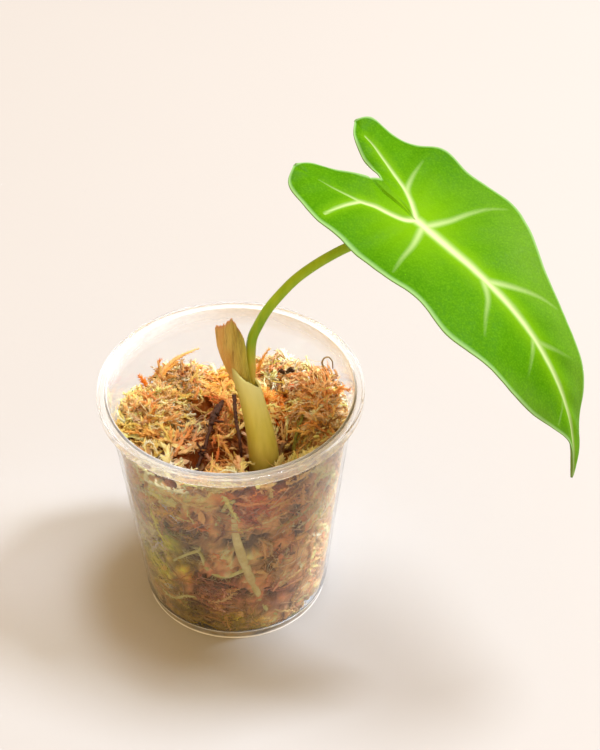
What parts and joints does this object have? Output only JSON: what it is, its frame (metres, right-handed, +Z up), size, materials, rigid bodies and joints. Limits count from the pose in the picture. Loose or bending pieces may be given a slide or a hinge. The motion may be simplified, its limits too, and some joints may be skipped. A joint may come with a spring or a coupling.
{
  "type": "potted frydek alocasia",
  "caption": "Young arrow-leaved aroid with one arching velvet leaf, growing from long-fibre moss in a clear tapered plastic cup.",
  "frame": {"origin": "centre of the cup's flat base, on the surface it stands on", "axes": "+Z up along the cup's axis; -Y is the side seen in the picture; the leaf reaches out over +X"},
  "size_m": [0.1556, 0.1012, 0.1798],
  "materials": {
    "clear_plastic": "clear, slightly hazy",
    "moss_tan": "matt, fibrous",
    "moss_straw": "matt, fibrous",
    "moss_gold": "matt, fibrous",
    "moss_pale": "matt, fibrous",
    "moss_rust": "matt, fibrous",
    "stem_skin": "smooth, satin",
    "dry_sheath": "dry, papery, streaked",
    "stalk_skin": "smooth, satin",
    "leaf": "velvety with pale veins",
    "root": "moist, pale",
    "dark_twig": "rough, dark",
    "dry_fibre": "dry",
    "green_sprig": "matt"
  },
  "bodies": {
    "root": {"cup": "clear_plastic", "moss_bed": "moss_tan", "moss_right": "moss_straw", "moss_left": "moss_straw", "moss_gold": "moss_gold", "moss_pale": "moss_pale", "moss_rust": "moss_rust", "stem_base": "stem_skin", "old_stub": "dry_sheath", "petiole": "stalk_skin", "leaf_blade": "leaf", "root_pale": "root", "twig_dark": "dark_twig", "twig_stem": "dark_twig", "curl_brown": "dry_fibre", "sprig_green": "green_sprig"}
  },
  "joints": []
}
